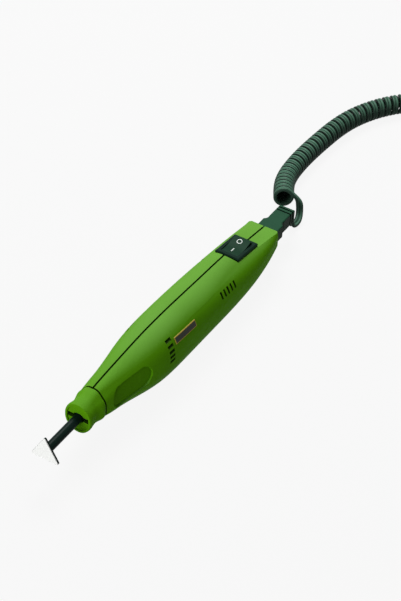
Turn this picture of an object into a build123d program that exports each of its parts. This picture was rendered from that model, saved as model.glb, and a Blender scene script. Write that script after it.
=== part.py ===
from build123d import *
import math
import os

# A pen sander that lies on its belly with the switch up. Millimetres, +Z up, the nose to -X.
# A station is a distance behind the front of the nose lip, measured along the drive axis.

# Frame: the origin is under the middle of the tool's length, on the surface that it lies on
axis_height = 23.5
holder_reach = 30.5
housing_front = 15.0
housing_rear = 199.0
anchor_rear = 228.0
middle_station = (anchor_rear - holder_reach) / 2

# Housing form, one row for each station: station, top, bottom, half width, level of the widest place,
# half width of the flat top, half width of the flat belly, softness of the corners from 0 to 1
housing_form = [
    (housing_front, 11.4, -9.9, 8.85, -1.0, 3.2, 3.1, 0.60),
    (30.0, 13.0, -14.2, 10.4, -2.0, 4.4, 4.6, 0.85),
    (46.0, 14.3, -18.4, 12.9, -3.0, 5.8, 6.0, 0.94),
    (62.0, 15.3, -21.9, 15.2, -4.0, 7.4, 7.4, 0.96),
    (90.0, 15.2, -24.0, 16.0, -4.0, 8.0, 8.0, 0.96),
    (125.0, 13.4, -24.2, 15.9, -4.4, 7.2, 8.2, 0.96),
    (152.0, 11.9, -24.0, 15.5, -4.6, 4.5, 8.2, 0.94),
    (174.0, 9.0, -21.6, 14.3, -4.4, 4.2, 7.6, 0.85),
    (190.0, 6.5, -17.4, 12.2, -4.0, 6.6, 6.6, 0.65),
    (housing_rear, 5.0, -13.8, 10.6, -3.6, 9.4, 6.0, 0.50),
]
side_share = 0.45
wall = 2.0
rear_wall = 2.6
rear_edge = 1.0
rear_edge_length = 1.5
recess_depth = 1.0
seam_depth = 1.4
seam_gap = 1.1

# Nose collar form, rows as above
lip_front = 0.0
lip_depth = 0.9
nose_wall = 2.0
collar_wall = 1.2
joint_gap = 1.0
nose_play = 0.35
spigot_length = 4.0
spigot_wall = 1.0
spigot_clearance = 0.1
web_front = 13.0
collar_form = [
    (lip_front, 9.9, -9.9, 8.2, 0.0, 3.2, 3.2, 0.96),
    (1.5, 10.2, -10.2, 8.5, 0.0, 3.3, 3.3, 0.96),
    (5.0, 9.8, -9.3, 8.0, -0.3, 3.0, 3.1, 0.88),
    (9.5, 10.55, -9.4, 8.4, -0.7, 3.1, 3.1, 0.72),
    (housing_front - joint_gap, 11.25, -9.7, 8.75, -1.0, 3.2, 3.1, 0.60),
]

# Sanding holder
shaft_radius = 2.7
shaft_end = 13.2
plate_side = 18.2
plate_thickness = 1.0
plate_corner = 0.8
pad_thickness = 0.5
pad_margin = 0.2
cross_pin_radius = 1.4
cross_pin_length = 12.6
cross_pin_station = 11.0
running_fit = 0.04
press_play = 0.01

# Drive lever
lever_station = 30.0
socket_front = 4.6
socket_radius = 4.4
socket_rear = 16.0
pin_play = 0.2
buffer_length = 1.8
arm_width = 5.4
arm_height = 8.0
lever_boss_radius = 5.0
lever_boss_height = 12.0
bush_radius = 2.6
bush_flange = 0.5
pivot_radius = 1.5
pivot_length = 19.0
bearing_station = 57.2
bearing_radius = 4.5
bearing_bore = 2.0
bearing_width = 4.0
fork_front = 47.0
fork_rear = 60.4
fork_bridge = 3.0
fork_prong = 2.4
fork_clearance = 0.25
eccentric_throw = 0.56
fork_half_gap = bearing_radius + 2 * eccentric_throw + fork_clearance
swing_angle = math.degrees(math.asin(eccentric_throw / (bearing_station - lever_station)))

# Motor and rotor
rotor_radius = 1.5
rotor_rear = 126.0
hub_front = 61.0
hub_rear = 66.0
hub_radius = 5.2
fan_front = 68.0
fan_rear = 74.0
fan_hub_radius = 4.0
fan_radius = 11.4
fan_blades = 9
blade_thickness = 0.9
can_front = 78.0
can_rear = 120.0
can_radius = 10.5
can_wall = 1.0
can_front_wall = 1.2
motor_bush_radius = 3.4
magnet_front = 84.0
magnet_rear = 113.0
magnet_thickness = 1.8
magnet_arc = 124.0
air_gap = 0.6
core_front = 87.0
core_rear = 110.0
core_slots = 5
slot_width = 2.2
slot_depth = 3.2
winding_bulge = 3.0
winding_play = 0.15
commutator_front = 114.0
commutator_rear = 117.6
commutator_radius = 3.0
brush_width = 2.6
brush_length = 4.0
brush_spring = 0.5
cap_rear = 124.0
cap_lip = 1.6
cap_play = 0.05
tab_length = 6.0
tab_width = 2.8
tab_thickness = 0.8
tab_offset = 6.2
suppressor_radius = 3.1
suppressor_width = 2.4
suppressor_level = 6.9
mount_stations = (87.5, 110.5)
mount_width = 3.0
mount_thickness = 0.9
rib_width = 3.0

# Switch on its sloping seat
seat_front = 149.5
seat_level = 8.7
seat_slope = 7.4
seat_length = 60.0
seat_ramp = 4.0
switch_offset = 15.9
frame_length = 23.6
frame_width = 16.5
frame_thickness = 2.0
frame_bevel = 0.7
case_length = 18.8
case_width = 13.2
case_depth = 12.4
case_wall = 0.9
case_play = 0.1
rocker_half_length = 8.1
rocker_play = 0.3
rocker_width = 11.0
rocker_pivot = -1.2
rocker_pin_radius = 0.9
rocker_pin_length = 0.6
rocker_tilt = 10.0
blade_offsets = (-4.0, 4.6)
blade_width = 4.8
blade_drop = 6.0

# Label plate on the photographed flank
label_front = 75.6
label_rear = 96.4
label_level = 6.5
label_height = 3.8
label_slope = 3.0
label_thickness = 0.35

# Vents and finger recess
front_vent_station = 71.0
front_vent_levels = (9.8, 6.5, 3.2, 0.0, -3.2)
front_vent_length = 4.8
front_vent_width = 1.8
rear_vent_first = 126.0
rear_vent_pitch = 3.6
rear_vent_count = 5
rear_vent_level = 4.65
rear_vent_drop = 0.29
rear_vent_length = 4.4
rear_vent_width = 1.5
recess_front = 20.6
recess_rear = 53.0
recess_level = 0.6
recess_width = 13.4

# Housing screws: station and level of each, all driven from the far side
screw_places = [(50.0, -13.0), (64.5, 9.0), (130.0, -16.8), (145.4, 4.6), (183.5, -14.4)]
screw_boss_radius = 3.0
screw_radius = 1.3
screw_length = 15.0
screw_head_radius = 2.3
screw_head_height = 2.0
screw_recess = 0.4
screw_play = 0.02
hex_socket = 1.6

# Cord anchor
anchor_level = -6.4
anchor_height = 9.6
anchor_base_width = 14.0
anchor_neck_width = 10.6
anchor_base_rear = 210.4
anchor_neck_front = 214.6
anchor_curve = 0.55
anchor_waist_width = 9.6
anchor_waist_height = 7.0
anchor_inner_width = 12.0
anchor_inner_height = 8.2
anchor_inner_length = 5.4
anchor_edge = 0.9
groove_stations = (222.6, 225.4)
groove_width = 1.1
groove_depth = 0.8

# Cord: a round tube that stands for a flat twin cord
cord_radius = 1.7
curl_radius = 5.3
curl_pitch = 5.3
curl_height = curl_radius + cord_radius + 0.4
curl_start_turn = 0.375
curl_end_turn = 0.75
arcs_per_turn = 2
curl_opening = 0.16
lead_points = [
    (anchor_rear, 0.0, 16.4),
    (234.2, 0.0, 16.4),
    (235.8, -0.6, 9.8),
    (236.4, -1.8, 2.8),
    (243.6, -2.0, 3.0),
    (248.6, 0.3, 4.9),
]
curl_lift = 3.4
curl_route = [
    (248.2, 13.5, curl_lift),
    (259.6, 20.2, 0.4 * curl_lift),
    (274.0, 25.0, 0.0),
    (290.0, 26.6, 0.0),
    (306.0, 26.6, 0.0),
    (322.0, 25.8, 0.0),
    (340.0, 24.4, 0.0),
    (357.0, 20.8, 0.0),
    (374.0, 13.6, 0.0),
    (389.0, 3.2, 0.0),
    (401.0, -9.6, 0.0),
    (409.0, -25.0, 0.0),
    (412.0, -40.0, 0.0),
    (412.0, -54.0, 0.0),
]
tail_offsets = [(-18.0, -0.6, 2.8), (-33.0, 1.8, 4.8), (-48.0, 3.2, 4.8)]

# Plug at the cord's end
plug_length = 27.0
plug_width = 10.0
plug_height = 9.0
plug_neck_length = 10.0
plug_neck_width = 6.4
plug_edge = 1.2
contact_radius = 2.75
contact_bore = 1.05
contact_length = 9.5

# Leads inside the housing
wire_radius = 0.7
wire_spread = 2.4


def along(station):
    return station - middle_station


def place(station, across, level):
    return (along(station), across, axis_height + level)


def section_plane(station):
    return Plane(origin=place(station, 0, 0), x_dir=(0, 1, 0), z_dir=(1, 0, 0))


def moved(row, station):
    return (station,) + row[1:]


def between(before, after, station):
    """The row of a form at a station between two of its rows."""
    share = (station - before[0]) / (after[0] - before[0])
    return tuple(low + share * (high - low) for low, high in zip(before, after))


def drawn_in(row, inset):
    """A row whose section is smaller by the inset all round."""
    station, top, bottom, half, level, top_flat, belly_flat, soft = row
    shrink = (half - inset) / half
    return (station, top - inset, bottom + inset, half - inset, level, top_flat * shrink, belly_flat * shrink, soft)


def outline(row, inset):
    """Eight corners of a section and the rounding of each, drawn in by the inset."""
    top, bottom, half, level, top_flat, belly_flat, soft = row[1:]
    shrink = (half - inset) / half
    corners = [
        (-top_flat * shrink, top - inset),
        (top_flat * shrink, top - inset),
        (half - inset, level + side_share * (top - inset - level)),
        (half - inset, level - side_share * (level - bottom - inset)),
        (belly_flat * shrink, bottom + inset),
        (-belly_flat * shrink, bottom + inset),
        (inset - half, level - side_share * (level - bottom - inset)),
        (inset - half, level + side_share * (top - inset - level)),
    ]
    radii = []
    for number, corner in enumerate(corners):
        before = Vector(*corners[number - 1]) - Vector(*corner)
        after = Vector(*corners[(number + 1) % len(corners)]) - Vector(*corner)
        turn = 180 - before.get_angle(after)
        reach = soft * min(before.length, after.length) / 2
        radii.append(reach / math.tan(math.radians(turn / 2)))
    return corners, radii


def lofted(rows, inset):
    """A solid through the sections of a form, drawn in by the inset."""
    with BuildPart() as made:
        for row in rows:
            corners, radii = outline(row, inset)
            with BuildSketch(section_plane(row[0])):
                with BuildLine():
                    FilletPolyline(*corners, radius=radii, close=True)
                make_face()
        loft()
    return made.part


def rod(station_front, station_rear, radius, mode=Mode.ADD):
    """A round bar on the drive axis, inside a part that is being built."""
    length = station_rear - station_front
    with Locations(Location(place(station_front, 0, 0), (0, 90, 0))):
        Cylinder(radius, length, align=(Align.CENTER, Align.CENTER, Align.MIN), mode=mode)


def block(station_front, station_rear, half_width, low, high, mode=Mode.ADD):
    """A box centred on the mid-plane, inside a part that is being built."""
    size = (station_rear - station_front, 2 * half_width, high - low)
    with Locations(place((station_front + station_rear) / 2, 0, (low + high) / 2)):
        Box(*size, mode=mode)


# Seat plane of the switch: its X runs to the rear and down, its Z stands on the seat
slope = math.radians(seat_slope)
seat_plane = Plane(
    origin=place(seat_front, 0, seat_level),
    x_dir=(math.cos(slope), 0, -math.sin(slope)),
    z_dir=(math.sin(slope), 0, math.cos(slope)),
)
switch_plane = Plane(
    origin=seat_plane.from_local_coords(Vector(switch_offset, 0, 0)),
    x_dir=seat_plane.x_dir,
    z_dir=seat_plane.z_dir,
)
frame_opening = rocker_half_length + 0.6 + rocker_play

# Forms that the housing, collar and label are cut from
edge_row = between(housing_form[-2], housing_form[-1], housing_rear - rear_edge_length)
with BuildPart() as outer_form:
    add(lofted(housing_form[:-1] + [edge_row], 0))
    add(lofted([edge_row, drawn_in(moved(edge_row, housing_rear), rear_edge)], 0))
skin_form = lofted(housing_form, recess_depth)
seam_form = lofted(housing_form, seam_depth)
label_form = lofted(housing_form, -label_thickness)
cavity_rows = [moved(housing_form[0], housing_front - 1)]
cavity_rows += housing_form[1:-1]
cavity_rows += [moved(housing_form[-1], housing_rear - rear_wall)]
cavity_form = lofted(cavity_rows, wall)


def above_seat(drop):
    """What the seat takes off a form: all above the seat, let down by the drop, and above the ramp before it."""
    side_plane = Plane(origin=seat_plane.origin, x_dir=seat_plane.x_dir, z_dir=(0, -1, 0))
    with BuildPart() as made:
        with BuildSketch(side_plane):
            with BuildLine():
                Polyline(
                    (seat_ramp - drop, -drop),
                    (seat_length, -drop),
                    (seat_length, axis_height),
                    (seat_ramp - 2 * drop - axis_height, axis_height),
                    close=True,
                )
            make_face()
        extrude(amount=axis_height, both=True)
    return made.part


with BuildPart() as body_form:
    add(outer_form.part)
    add(above_seat(0), mode=Mode.SUBTRACT)
    with Locations((0, 0, 0)):
        Box(
            2 * housing_rear,
            2 * axis_height,
            axis_height,
            align=(Align.CENTER, Align.CENTER, Align.MAX),
            mode=Mode.SUBTRACT,
        )

with BuildPart() as hollow:
    add(cavity_form)
    add(above_seat(wall), mode=Mode.SUBTRACT)
    with Locations((0, 0, wall)):
        Box(
            2 * housing_rear,
            2 * axis_height,
            axis_height,
            align=(Align.CENTER, Align.CENTER, Align.MAX),
            mode=Mode.SUBTRACT,
        )

mount_radius = can_radius + mount_thickness
with BuildPart() as inner_walls:
    for station, level in screw_places:
        with Locations(Location(place(station, 0, level), (90, 0, 0))):
            Cylinder(screw_boss_radius, 2 * axis_height)
    for station in mount_stations:
        block(station - rib_width / 2, station + rib_width / 2, axis_height, -axis_height, axis_height)
        rod(station - rib_width, station + rib_width, mount_radius + press_play, mode=Mode.SUBTRACT)
    for side in (1, -1):
        with Locations(place(lever_station, 0, side * (lever_boss_height / 2 + bush_flange + pin_play))):
            Cylinder(
                lever_boss_radius - bush_flange,
                axis_height,
                align=(Align.CENTER, Align.CENTER, Align.MIN if side > 0 else Align.MAX),
            )
    add(body_form.part, mode=Mode.INTERSECT)

with BuildPart() as shell:
    add(body_form.part)
    add(hollow.part, mode=Mode.SUBTRACT)
    add(inner_walls.part)
    with Locations(place(lever_station, 0, 0)):
        Cylinder(pivot_radius + press_play, pivot_length, mode=Mode.SUBTRACT)
    for level in front_vent_levels:
        with Locations(place(front_vent_station, 0, level)):
            Box(front_vent_length, 2 * axis_height, front_vent_width, mode=Mode.SUBTRACT)
    for number in range(rear_vent_count):
        station = rear_vent_first + number * rear_vent_pitch
        with Locations(place(station, 0, rear_vent_level - number * rear_vent_drop)):
            Box(rear_vent_width, 2 * axis_height, rear_vent_length, mode=Mode.SUBTRACT)
    with Locations(switch_plane):
        Box(case_length + 2 * case_play, case_width + 2 * case_play, 2 * case_depth, mode=Mode.SUBTRACT)
    waist_low = anchor_level - anchor_waist_height / 2 - press_play
    waist_high = anchor_level + anchor_waist_height / 2 + press_play
    waist_half = anchor_waist_width / 2 + press_play
    block(housing_rear - 2 * rear_wall, housing_rear + 1, waist_half, waist_low, waist_high, mode=Mode.SUBTRACT)

# Seam groove and finger recesses: cut no deeper than the forms under the skin
with BuildPart() as seam_floor:
    add(seam_form)
    add(above_seat(seam_depth), mode=Mode.SUBTRACT)

with BuildPart() as groove:
    block(housing_front, housing_rear, seam_gap / 2, -axis_height, axis_height)
    add(seam_floor.part, mode=Mode.SUBTRACT)

with BuildPart() as recess:
    recess_length = recess_rear - recess_front
    recess_place = place((recess_front + recess_rear) / 2, 0, recess_level)
    with BuildSketch(Plane(origin=recess_place, x_dir=(1, 0, 0), z_dir=(0, -1, 0))):
        SlotOverall(recess_length, recess_width)
    extrude(amount=axis_height, both=True)
    add(skin_form, mode=Mode.SUBTRACT)

half_size = (2 * housing_rear, 2 * axis_height, 4 * axis_height)

with BuildPart() as housing_left:
    add(shell.part)
    Box(*half_size, align=(Align.CENTER, Align.MIN, Align.CENTER), mode=Mode.SUBTRACT)
    add(groove.part, mode=Mode.SUBTRACT)
    add(recess.part, mode=Mode.SUBTRACT)
    for station, level in screw_places:
        with Locations(Location(place(station, 0, level), (90, 0, 0))):
            Cylinder(screw_radius + screw_play, screw_length, mode=Mode.SUBTRACT)
housing_left.part.label = "housing_left"

screw_head_seat = screw_length / 2
with BuildPart() as housing_right:
    add(shell.part)
    Box(*half_size, align=(Align.CENTER, Align.MAX, Align.CENTER), mode=Mode.SUBTRACT)
    add(groove.part, mode=Mode.SUBTRACT)
    add(recess.part, mode=Mode.SUBTRACT)
    for station, level in screw_places:
        with Locations(Location(place(station, 0, level), (-90, 0, 0))):
            Cylinder(screw_radius + screw_play, screw_length, mode=Mode.SUBTRACT)
        with Locations(Location(place(station, screw_head_seat, level), (-90, 0, 0))):
            Cylinder(
                screw_head_radius + screw_recess,
                axis_height,
                align=(Align.CENTER, Align.CENTER, Align.MIN),
                mode=Mode.SUBTRACT,
            )
housing_right.part.label = "housing_right"

with BuildPart() as housing_screws:
    for station, level in screw_places:
        with Locations(Location(place(station, 0, level), (-90, 0, 0))):
            Cylinder(screw_radius, screw_length)
        with Locations(Location(place(station, screw_head_seat, level), (-90, 0, 0))):
            Cylinder(
                screw_head_radius,
                screw_head_height,
                align=(Align.CENTER, Align.CENTER, Align.MIN),
            )
        socket_place = place(station, screw_head_seat + screw_head_height, level)
        with BuildSketch(Plane(origin=socket_place, x_dir=(1, 0, 0), z_dir=(0, -1, 0))):
            RegularPolygon(hex_socket, 6)
        extrude(amount=screw_head_height / 2, mode=Mode.SUBTRACT)
housing_screws.part.label = "housing_screws"

# Nose collar
collar_outer = lofted(collar_form, 0)
collar_dish = lofted(collar_form, collar_wall)
spigot_rows = [moved(housing_form[0], web_front)]
spigot_rows += [moved(housing_form[0], housing_front + spigot_length)]
spigot_form = lofted(spigot_rows, wall + spigot_clearance)
spigot_bore = lofted(spigot_rows, wall + spigot_clearance + spigot_wall)
slot_half_width = cross_pin_length / 2 + 3 * pin_play
nose_hole = shaft_radius + nose_play
nose_swing = (lever_station - lip_front) * math.tan(math.radians(swing_angle))

with BuildPart() as collar_room:
    add(collar_dish)
    block(lip_depth, lip_depth + nose_wall, axis_height, -axis_height, axis_height, mode=Mode.SUBTRACT)
    block(web_front, housing_front, axis_height, -axis_height, axis_height, mode=Mode.SUBTRACT)

with BuildPart() as nose_collar:
    add(collar_outer)
    add(collar_room.part, mode=Mode.SUBTRACT)
    add(spigot_form)
    add(spigot_bore, mode=Mode.SUBTRACT)
    slot_half_height = cross_pin_radius + pin_play
    block(lip_front, web_front / 2, slot_half_width, -slot_half_height, slot_half_height, mode=Mode.SUBTRACT)
    with BuildSketch(section_plane(lip_front)):
        SlotOverall(2 * (nose_hole + nose_swing), 2 * nose_hole)
    extrude(amount=web_front / 2, mode=Mode.SUBTRACT)
nose_collar.part.label = "nose_collar"

# Label plate, which follows the flank
with BuildPart() as label_plate:
    label_place = place((label_front + label_rear) / 2, 0, label_level)
    with Locations(Location(label_place, (0, label_slope, 0))):
        Box(
            label_rear - label_front,
            2 * axis_height,
            label_height,
            align=(Align.CENTER, Align.MAX, Align.CENTER),
        )
    add(label_form, mode=Mode.INTERSECT)
    add(outer_form.part, mode=Mode.SUBTRACT)
label_plate.part.label = "label_plate"

# Switch
with BuildPart() as switch_frame:
    with BuildSketch(switch_plane):
        RectangleRounded(frame_length, frame_width, frame_bevel)
    extrude(amount=frame_thickness)
    top_edges = switch_frame.faces().sort_by(Axis.Z)[-1].edges()
    chamfer(top_edges, frame_bevel)
    with Locations(switch_plane):
        Box(
            case_length,
            case_width,
            case_depth,
            align=(Align.CENTER, Align.CENTER, Align.MAX),
        )
    with Locations(switch_plane.offset(case_wall - case_depth)):
        Box(
            2 * frame_opening,
            rocker_width + 2 * rocker_play,
            2 * case_depth,
            align=(Align.CENTER, Align.CENTER, Align.MIN),
            mode=Mode.SUBTRACT,
        )
    with Locations(Location(switch_plane.from_local_coords(Vector(0, 0, rocker_pivot)), (90, 0, 0))):
        Cylinder(rocker_pin_radius + running_fit, case_width, mode=Mode.SUBTRACT)
switch_frame.part.label = "switch_frame"

# Rocker, drawn level about its pivot and tipped with the front end down
rocker_plane = Plane(
    origin=switch_plane.from_local_coords(Vector(0, 0, rocker_pivot)),
    x_dir=switch_plane.x_dir,
    z_dir=switch_plane.z_dir,
).rotated((0, -rocker_tilt, 0))
rocker_side = Plane(origin=rocker_plane.origin, x_dir=rocker_plane.x_dir, z_dir=(0, -1, 0))
rocker_end_height = 4.4
rocker_dip = 3.1
rocker_depth = 4.0
rocker_foot = 2.6
rocker_shoulder = 0.2
with BuildPart() as switch_rocker:
    with BuildSketch(rocker_side):
        with BuildLine():
            left_end = (-rocker_half_length, rocker_end_height)
            right_end = (rocker_half_length, rocker_end_height)
            ThreePointArc(left_end, (0, rocker_dip), right_end)
            Polyline(
                right_end,
                (rocker_half_length, -rocker_shoulder),
                (rocker_foot, -rocker_depth),
                (-rocker_foot, -rocker_depth),
                (-rocker_half_length, -rocker_shoulder),
                left_end,
            )
        make_face()
    extrude(amount=rocker_width / 2, both=True)
    with Locations(Location(rocker_plane.origin, (90, 0, 0))):
        Cylinder(rocker_pin_radius, rocker_width + 2 * (rocker_play + rocker_pin_length))
switch_rocker.part.label = "switch_rocker"

with BuildPart() as switch_terminals:
    for offset in blade_offsets:
        with Locations(switch_plane.offset(-case_depth)):
            with Locations((offset, 0, 0)):
                Box(
                    tab_thickness,
                    blade_width,
                    blade_drop,
                    align=(Align.CENTER, Align.CENTER, Align.MAX),
                )
switch_terminals.part.label = "switch_terminals"

# Cord anchor: a waist in the rear wall, a flange on each side of it and a grooved neck
with BuildPart() as cord_anchor:
    anchor_plane = Plane(origin=place(0, 0, anchor_level), x_dir=(1, 0, 0), z_dir=(0, 0, 1))
    with BuildSketch(anchor_plane):
        with BuildLine():
            half_base = anchor_base_width / 2
            half_neck = anchor_neck_width / 2
            flare = (half_base - half_neck) * anchor_curve / 2
            flare_station = anchor_base_rear + (anchor_neck_front - anchor_base_rear) * anchor_curve / 2
            for side in (1, -1):
                ThreePointArc(
                    (anchor_base_rear, side * half_base),
                    (flare_station, side * (half_neck + flare)),
                    (anchor_neck_front, side * half_neck),
                )
            Polyline(
                (anchor_base_rear, -half_base),
                (housing_rear, -half_base),
                (housing_rear, half_base),
                (anchor_base_rear, half_base),
            )
            Polyline(
                (anchor_neck_front, half_neck),
                (anchor_rear, half_neck),
                (anchor_rear, -half_neck),
                (anchor_neck_front, -half_neck),
            )
        make_face()
    extrude(amount=anchor_height / 2, both=True)
    rims = cord_anchor.edges().filter_by(Plane.XY)
    fillet(rims.filter_by(lambda edge: edge.center().X > along(housing_rear) + anchor_edge), anchor_edge)
    for station in groove_stations:
        with Locations(place(station, 0, anchor_level)):
            Box(groove_width, anchor_base_width, anchor_height, mode=Mode.SUBTRACT)
            Box(groove_width, anchor_neck_width - 2 * groove_depth, anchor_height - 2 * groove_depth)
    inner_front = housing_rear - rear_wall - anchor_inner_length
    waist_low = anchor_level - anchor_waist_height / 2
    waist_high = anchor_level + anchor_waist_height / 2
    inner_low = anchor_level - anchor_inner_height / 2
    inner_high = anchor_level + anchor_inner_height / 2
    block(inner_front, housing_rear, anchor_waist_width / 2, waist_low, waist_high)
    block(inner_front, housing_rear - rear_wall, anchor_inner_width / 2, inner_low, inner_high)
cord_anchor.part.label = "cord_anchor"

# Sanding holder: the pin lies upright when the bayonet is locked
plate_front = -holder_reach + pad_thickness
with BuildPart() as sanding_holder:
    rod(plate_front + plate_thickness, shaft_end, shaft_radius)
    with BuildSketch(section_plane(plate_front)):
        RegularPolygon(plate_side / math.sqrt(3), 3, rotation=90)
        fillet(vertices(), plate_corner)
    extrude(amount=plate_thickness)
    with Locations(place(cross_pin_station, 0, 0)):
        Cylinder(cross_pin_radius + press_play, cross_pin_length, mode=Mode.SUBTRACT)
sanding_holder.part.label = "sanding_holder"

with BuildPart() as holder_cross_pin:
    with Locations(place(cross_pin_station, 0, 0)):
        Cylinder(cross_pin_radius, cross_pin_length)
holder_cross_pin.part.label = "holder_cross_pin"

with BuildPart() as abrasive_pad:
    with BuildSketch(section_plane(-holder_reach)):
        RegularPolygon(plate_side / math.sqrt(3) - pad_margin, 3, rotation=90)
        fillet(vertices(), plate_corner)
    extrude(amount=pad_thickness)
abrasive_pad.part.label = "abrasive_pad"

# Drive lever: bayonet socket, arm, pivot boss and fork
window_front = cross_pin_station - cross_pin_radius - pin_play
window_rear = cross_pin_station + cross_pin_radius + pin_play
track = cross_pin_radius + pin_play
with BuildPart() as drive_lever:
    rod(socket_front, socket_rear, socket_radius)
    block(shaft_end + buffer_length, fork_front + fork_bridge, arm_width / 2, -arm_height / 2, arm_height / 2)
    with Locations(place(lever_station, 0, 0)):
        Cylinder(lever_boss_radius, lever_boss_height)
    outer_half = fork_half_gap + fork_prong
    block(fork_front, fork_rear, outer_half, -arm_height / 2, arm_height / 2)
    block(fork_front + fork_bridge, fork_rear, fork_half_gap, -arm_height, arm_height, mode=Mode.SUBTRACT)
    rod(socket_front, shaft_end + buffer_length, shaft_radius + running_fit, mode=Mode.SUBTRACT)
    block(socket_front, window_rear, socket_radius, -track, track, mode=Mode.SUBTRACT)
    for side in (1, -1):
        quadrant = socket_radius + track
        centre = side * (quadrant / 2 - track)
        with Locations(place(cross_pin_station, centre, centre)):
            Box(window_rear - window_front, quadrant, quadrant, mode=Mode.SUBTRACT)
    with Locations(place(lever_station, 0, 0)):
        Cylinder(bush_radius + press_play, lever_boss_height, mode=Mode.SUBTRACT)
drive_lever.part.label = "drive_lever"

with BuildPart() as lever_bush:
    with Locations(place(lever_station, 0, 0)):
        Cylinder(bush_radius, lever_boss_height)
        for side in (1, -1):
            with Locations((0, 0, side * (lever_boss_height + bush_flange) / 2)):
                Cylinder(lever_boss_radius - bush_flange, bush_flange)
        Cylinder(pivot_radius + running_fit, 2 * lever_boss_height, mode=Mode.SUBTRACT)
lever_bush.part.label = "lever_bush"

with BuildPart() as lever_pivot_pin:
    with Locations(place(lever_station, 0, 0)):
        Cylinder(pivot_radius, pivot_length)
lever_pivot_pin.part.label = "lever_pivot_pin"

with BuildPart() as socket_buffer:
    rod(shaft_end, shaft_end + buffer_length, shaft_radius)
socket_buffer.part.label = "socket_buffer"

# Rotor: shaft, eccentric hub with its pin raised by the throw, bearing, fan, armature, commutator
with BuildPart() as rotor_shaft:
    rod(hub_front, rotor_rear, rotor_radius)
rotor_shaft.part.label = "rotor_shaft"

pin_front = bearing_station - bearing_width / 2 - 2 * pin_play
with BuildPart() as eccentric_hub:
    rod(hub_front, hub_rear, hub_radius)
    rod(hub_front, hub_rear, rotor_radius + press_play, mode=Mode.SUBTRACT)
    with Locations(Location(place(pin_front, 0, eccentric_throw), (0, 90, 0))):
        Cylinder(bearing_bore, hub_front - pin_front, align=(Align.CENTER, Align.CENTER, Align.MIN))
eccentric_hub.part.label = "eccentric_hub"

with BuildPart() as eccentric_bearing:
    with Locations(Location(place(bearing_station, 0, eccentric_throw), (0, 90, 0))):
        Cylinder(bearing_radius, bearing_width)
        Cylinder(bearing_bore + press_play, bearing_width, mode=Mode.SUBTRACT)
eccentric_bearing.part.label = "eccentric_bearing"

with BuildPart() as cooling_fan:
    rod(fan_front, fan_rear, fan_hub_radius)
    blade_length = fan_radius - fan_hub_radius / 2
    with Locations(section_plane((fan_front + fan_rear) / 2)):
        with PolarLocations((fan_radius + fan_hub_radius / 2) / 2, fan_blades):
            Box(blade_length, blade_thickness, fan_rear - fan_front)
    rod(fan_front, fan_rear, rotor_radius + press_play, mode=Mode.SUBTRACT)
cooling_fan.part.label = "cooling_fan"

magnet_inner = can_radius - can_wall - magnet_thickness
core_radius = magnet_inner - air_gap
with BuildPart() as armature_core:
    rod(core_front, core_rear, core_radius)
    with Locations(section_plane((core_front + core_rear) / 2)):
        with PolarLocations(core_radius - slot_depth / 2, core_slots):
            Box(slot_depth, slot_width, core_rear - core_front, mode=Mode.SUBTRACT)
    rod(core_front, core_rear, rotor_radius + press_play, mode=Mode.SUBTRACT)
armature_core.part.label = "armature_core"

with BuildPart() as armature_windings:
    with Locations(section_plane((core_front + core_rear) / 2)):
        with PolarLocations(core_radius - slot_depth / 2 - winding_play, core_slots):
            Box(
                slot_depth - 3 * winding_play,
                slot_width - 2 * winding_play,
                core_rear - core_front + 2 * winding_play,
            )
    winding_radius = core_radius - 3 * winding_play
    winding_bore = core_radius - slot_depth
    rod(core_front - winding_bulge, core_front, winding_radius)
    rod(core_rear, core_rear + winding_bulge, winding_radius)
    rod(core_front - winding_bulge, core_front, winding_bore, mode=Mode.SUBTRACT)
    rod(core_rear, core_rear + winding_bulge, winding_bore, mode=Mode.SUBTRACT)
armature_windings.part.label = "armature_windings"

with BuildPart() as commutator:
    rod(commutator_front, commutator_rear, commutator_radius)
    rod(commutator_front, commutator_rear, rotor_radius + press_play, mode=Mode.SUBTRACT)
commutator.part.label = "commutator"

# Motor: can, magnets, end cap, bushes, brushes and their springs, tabs and suppressor
with BuildPart() as motor_can:
    rod(can_front, can_rear, can_radius)
    rod(can_front + can_front_wall, can_rear, can_radius - can_wall, mode=Mode.SUBTRACT)
    rod(can_front, can_rear, motor_bush_radius + press_play, mode=Mode.SUBTRACT)
motor_can.part.label = "motor_can"

with BuildPart() as field_magnets:
    for side in (90, 270):
        with BuildSketch(section_plane(magnet_front)):
            with BuildLine():
                outer_magnet = can_radius - can_wall - press_play
                start = side - magnet_arc / 2
                rim = CenterArc((0, 0), outer_magnet, start, magnet_arc)
                inside = CenterArc((0, 0), magnet_inner, start, magnet_arc)
                Line(rim @ 0, inside @ 0)
                Line(rim @ 1, inside @ 1)
            make_face()
        extrude(amount=magnet_rear - magnet_front)
field_magnets.part.label = "field_magnets"

with BuildPart() as motor_end_cap:
    rod(can_rear, cap_rear, can_radius)
    rod(can_rear - cap_lip, can_rear, can_radius - can_wall - cap_play)
    rod(can_rear - cap_lip, cap_rear, motor_bush_radius + press_play, mode=Mode.SUBTRACT)
motor_end_cap.part.label = "motor_end_cap"

with BuildPart() as motor_bushes:
    rod(can_front - can_front_wall, can_front + 2 * can_front_wall, motor_bush_radius)
    rod(can_rear, cap_rear, motor_bush_radius)
    rod(can_front - can_front_wall, cap_rear, rotor_radius + running_fit, mode=Mode.SUBTRACT)
motor_bushes.part.label = "motor_bushes"

brush_inner = commutator_radius + running_fit
brush_station = (commutator_front + commutator_rear) / 2
with BuildPart() as carbon_brushes:
    for side in (1, -1):
        with Locations(place(brush_station, side * (brush_inner + brush_length / 2), 0)):
            Box(brush_width, brush_length, brush_width)
carbon_brushes.part.label = "carbon_brushes"

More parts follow.
